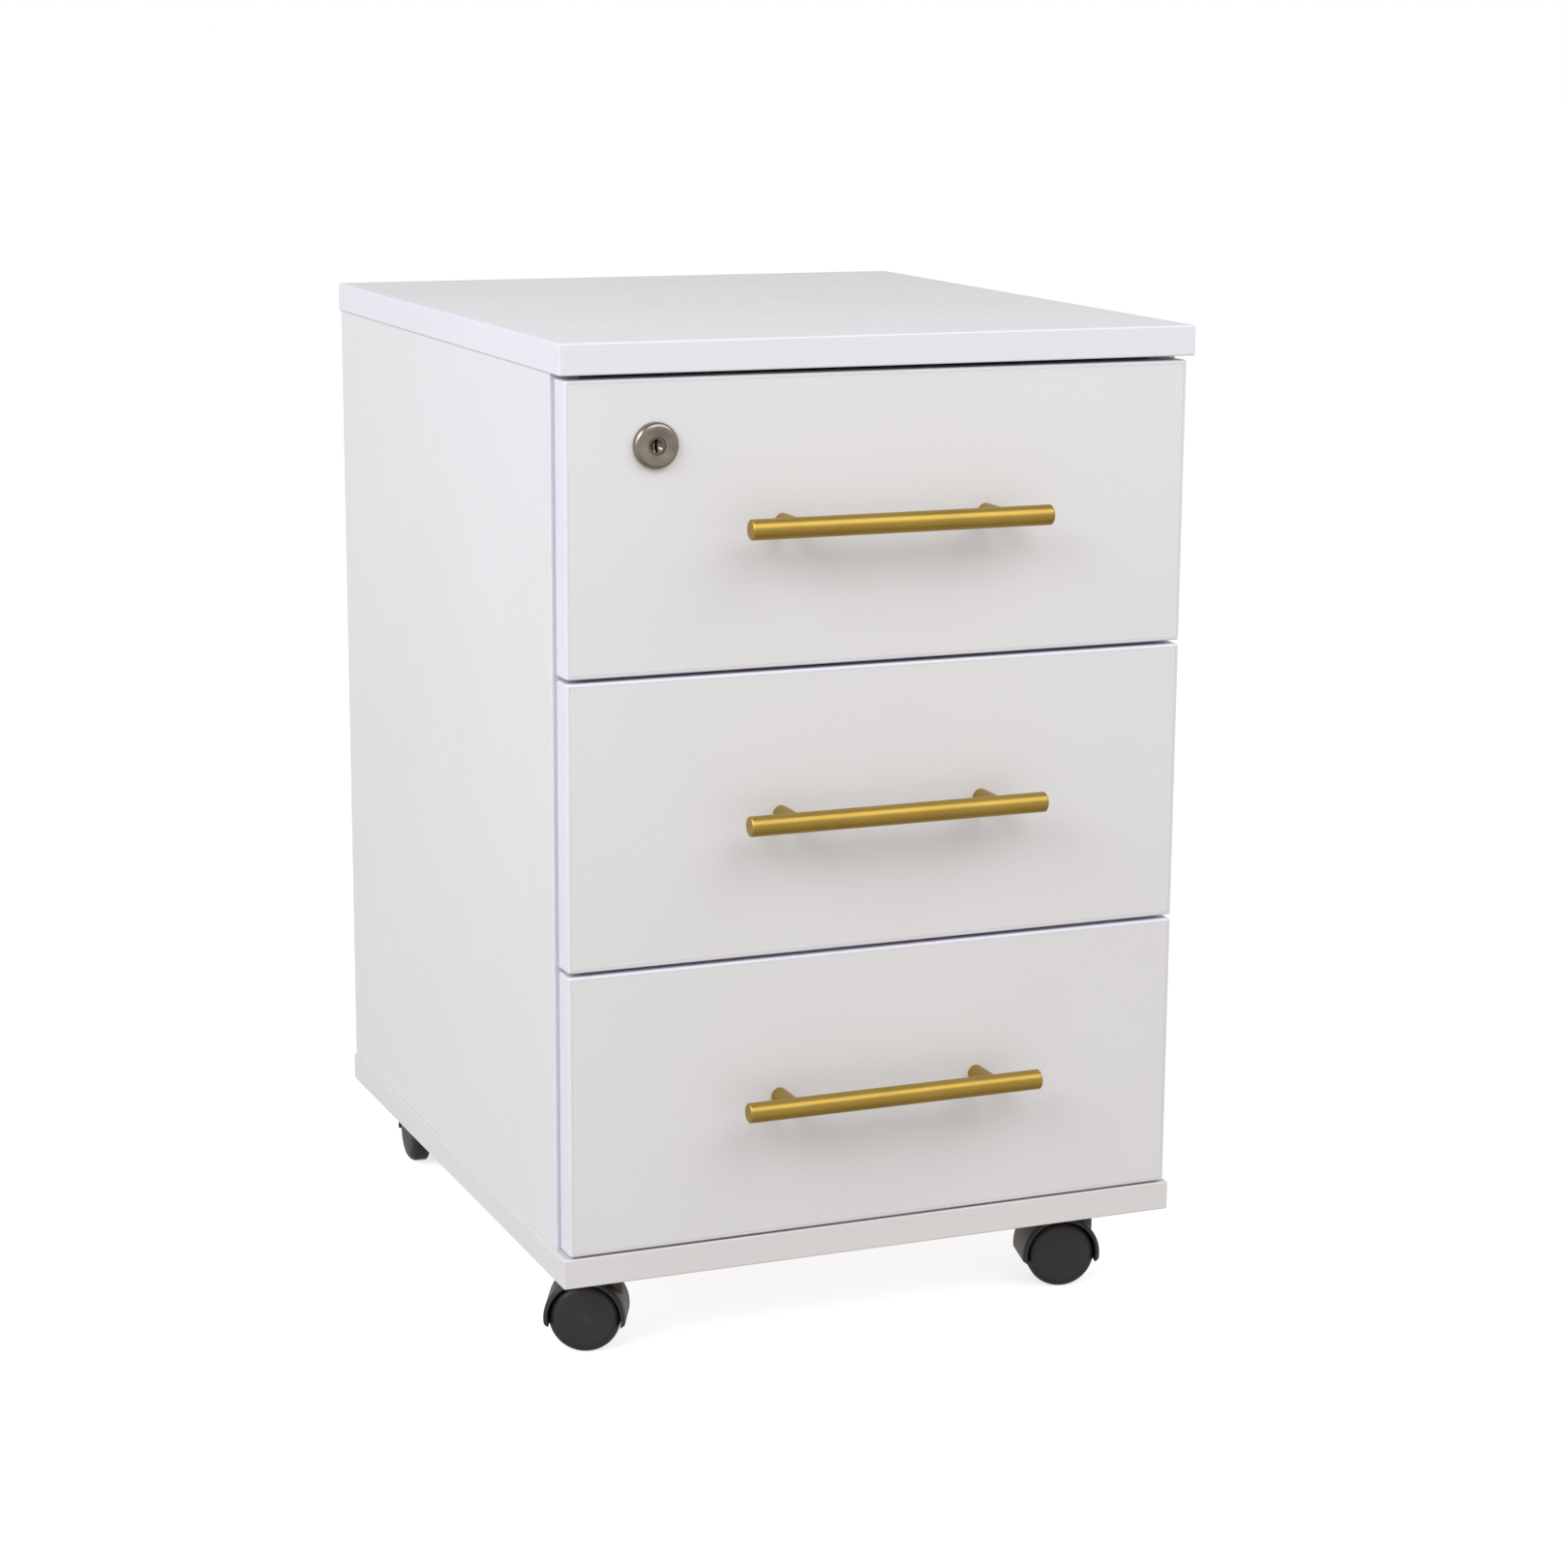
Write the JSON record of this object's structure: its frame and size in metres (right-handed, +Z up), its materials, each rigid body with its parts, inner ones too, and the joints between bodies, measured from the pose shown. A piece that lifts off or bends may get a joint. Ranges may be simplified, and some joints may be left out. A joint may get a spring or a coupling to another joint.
{
  "type": "rolling pedestal cabinet",
  "caption": "Low white drawer pedestal on swivelling twin-wheel casters, with full-width drawer fronts, round gold bar handles and a cam lock on the upper drawer.",
  "frame": {"origin": "on the floor under the middle of the bounding box, handles included", "axes": "+Z up, +X to the right seen from the front, drawer fronts face -Y"},
  "size_m": [0.397, 0.4864, 0.6035],
  "materials": {
    "white_board": "satin melamine on particle board",
    "white_edging": "satin PVC",
    "grey_hardboard": "lacquered hardboard",
    "gold_metal": "satin brushed gold",
    "nickel": "satin nickel",
    "dark_nickel": "dark satin",
    "slide_steel": "zinc plated",
    "fixing_steel": "zinc plated",
    "caster_plastic": "satin charcoal",
    "wheel_plastic": "satin charcoal"
  },
  "bodies": {
    "carcass": {"top_panel": "white_board", "left_side_panel": "white_board", "right_side_panel": "white_board", "back_panel": "white_board", "bottom_panel": "white_board", "carcass_edge_banding": "white_edging", "connector_cams": "fixing_steel", "slide_cabinet_rails": "slide_steel", "fixing_screws": "fixing_steel", "caster_plates": "fixing_steel"},
    "drawer_top": {"drawer_top_front": "white_board", "drawer_top_edge_banding": "white_edging", "drawer_top_box_sides": "white_board", "drawer_top_box_back": "white_board", "drawer_top_box_bottom": "grey_hardboard", "drawer_top_handle_bar": "gold_metal", "drawer_top_handle_posts": "gold_metal", "drawer_top_handle_screws": "fixing_steel", "drawer_top_slide_rails": "slide_steel", "lock_housing": "nickel", "lock_nut": "nickel"},
    "drawer_top_middle_members": {"drawer_top_middle_rails": "slide_steel"},
    "drawer_middle": {"drawer_middle_front": "white_board", "drawer_middle_edge_banding": "white_edging", "drawer_middle_box_sides": "white_board", "drawer_middle_box_back": "white_board", "drawer_middle_box_bottom": "grey_hardboard", "drawer_middle_handle_bar": "gold_metal", "drawer_middle_handle_posts": "gold_metal", "drawer_middle_handle_screws": "fixing_steel", "drawer_middle_slide_rails": "slide_steel"},
    "drawer_middle_middle_members": {"drawer_middle_middle_rails": "slide_steel"},
    "drawer_bottom": {"drawer_bottom_front": "white_board", "drawer_bottom_edge_banding": "white_edging", "drawer_bottom_box_sides": "white_board", "drawer_bottom_box_back": "white_board", "drawer_bottom_box_bottom": "grey_hardboard", "drawer_bottom_handle_bar": "gold_metal", "drawer_bottom_handle_posts": "gold_metal", "drawer_bottom_handle_screws": "fixing_steel", "drawer_bottom_slide_rails": "slide_steel"},
    "drawer_bottom_middle_members": {"drawer_bottom_middle_rails": "slide_steel"},
    "lock": {"lock_plug": "dark_nickel", "lock_cam": "fixing_steel"},
    "caster_fl": {"caster_fl_hood": "caster_plastic", "caster_fl_axle": "fixing_steel"},
    "caster_fl_wheel_a": {"caster_fl_wheel_a": "wheel_plastic"},
    "caster_fl_wheel_b": {"caster_fl_wheel_b": "wheel_plastic"},
    "caster_fr": {"caster_fr_hood": "caster_plastic", "caster_fr_axle": "fixing_steel"},
    "caster_fr_wheel_a": {"caster_fr_wheel_a": "wheel_plastic"},
    "caster_fr_wheel_b": {"caster_fr_wheel_b": "wheel_plastic"},
    "caster_rl": {"caster_rl_hood": "caster_plastic", "caster_rl_axle": "fixing_steel"},
    "caster_rl_wheel_a": {"caster_rl_wheel_a": "wheel_plastic"},
    "caster_rl_wheel_b": {"caster_rl_wheel_b": "wheel_plastic"},
    "caster_rr": {"caster_rr_hood": "caster_plastic", "caster_rr_axle": "fixing_steel"},
    "caster_rr_wheel_a": {"caster_rr_wheel_a": "wheel_plastic"},
    "caster_rr_wheel_b": {"caster_rr_wheel_b": "wheel_plastic"}
  },
  "joints": [
    {"name": "drawer_top_slide", "type": "slide", "parent": "carcass", "child": "drawer_top", "axis": [0, -1, 0], "range_m": [0, 0.38]},
    {"name": "drawer_top_middle_slide", "type": "slide", "parent": "carcass", "child": "drawer_top_middle_members", "axis": [0, -1, 0], "range_m": [0, 0.19]},
    {"name": "drawer_middle_slide", "type": "slide", "parent": "carcass", "child": "drawer_middle", "axis": [0, -1, 0], "range_m": [0, 0.38]},
    {"name": "drawer_middle_middle_slide", "type": "slide", "parent": "carcass", "child": "drawer_middle_middle_members", "axis": [0, -1, 0], "range_m": [0, 0.19]},
    {"name": "drawer_bottom_slide", "type": "slide", "parent": "carcass", "child": "drawer_bottom", "axis": [0, -1, 0], "range_m": [0, 0.38]},
    {"name": "drawer_bottom_middle_slide", "type": "slide", "parent": "carcass", "child": "drawer_bottom_middle_members", "axis": [0, -1, 0], "range_m": [0, 0.19]},
    {"name": "lock_turn", "type": "hinge", "parent": "drawer_top", "child": "lock", "pos_m": [-0.1412, -0.21125, 0.54495], "axis": [0, -1, 0], "range_deg": [0, 90]},
    {"name": "caster_fl_swivel", "type": "hinge", "parent": "carcass", "child": "caster_fl", "pos_m": [-0.1565, -0.17275, 0.046], "axis": [0, 0, 1], "continuous": true},
    {"name": "caster_fl_wheel_a_spin", "type": "hinge", "parent": "caster_fl", "child": "caster_fl_wheel_a", "pos_m": [-0.16964, -0.16662, 0.0215], "axis": [-0.4226, -0.9063, 0], "continuous": true},
    {"name": "caster_fl_wheel_b_spin", "type": "hinge", "parent": "caster_fl", "child": "caster_fl_wheel_b", "pos_m": [-0.16964, -0.16662, 0.0215], "axis": [-0.4226, -0.9063, 0], "continuous": true},
    {"name": "caster_fr_swivel", "type": "hinge", "parent": "carcass", "child": "caster_fr", "pos_m": [0.1565, -0.17275, 0.046], "axis": [0, 0, 1], "continuous": true},
    {"name": "caster_fr_wheel_a_spin", "type": "hinge", "parent": "caster_fr", "child": "caster_fr_wheel_a", "pos_m": [0.1424, -0.16936, 0.0215], "axis": [-0.2334, -0.9724, 0], "continuous": true},
    {"name": "caster_fr_wheel_b_spin", "type": "hinge", "parent": "caster_fr", "child": "caster_fr_wheel_b", "pos_m": [0.1424, -0.16936, 0.0215], "axis": [-0.2334, -0.9724, 0], "continuous": true},
    {"name": "caster_rl_swivel", "type": "hinge", "parent": "carcass", "child": "caster_rl", "pos_m": [-0.1565, 0.19525, 0.046], "axis": [0, 0, 1], "continuous": true},
    {"name": "caster_rl_wheel_a_spin", "type": "hinge", "parent": "caster_rl", "child": "caster_rl_wheel_a", "pos_m": [-0.15549, 0.20972, 0.0215], "axis": [-0.9976, 0.0698, 0], "continuous": true},
    {"name": "caster_rl_wheel_b_spin", "type": "hinge", "parent": "caster_rl", "child": "caster_rl_wheel_b", "pos_m": [-0.15549, 0.20972, 0.0215], "axis": [-0.9976, 0.0698, 0], "continuous": true},
    {"name": "caster_rr_swivel", "type": "hinge", "parent": "carcass", "child": "caster_rr", "pos_m": [0.1565, 0.19525, 0.046], "axis": [0, 0, 1], "continuous": true},
    {"name": "caster_rr_wheel_a_spin", "type": "hinge", "parent": "caster_rr", "child": "caster_rr_wheel_a", "pos_m": [0.14507, 0.20418, 0.0215], "axis": [-0.6157, -0.788, 0], "continuous": true},
    {"name": "caster_rr_wheel_b_spin", "type": "hinge", "parent": "caster_rr", "child": "caster_rr_wheel_b", "pos_m": [0.14507, 0.20418, 0.0215], "axis": [-0.6157, -0.788, 0], "continuous": true}
  ],
  "couplings": [
    {"joint": "drawer_top_middle_slide", "follows": "drawer_top_slide", "ratio": 0.5},
    {"joint": "drawer_middle_middle_slide", "follows": "drawer_middle_slide", "ratio": 0.5},
    {"joint": "drawer_bottom_middle_slide", "follows": "drawer_bottom_slide", "ratio": 0.5}
  ]
}
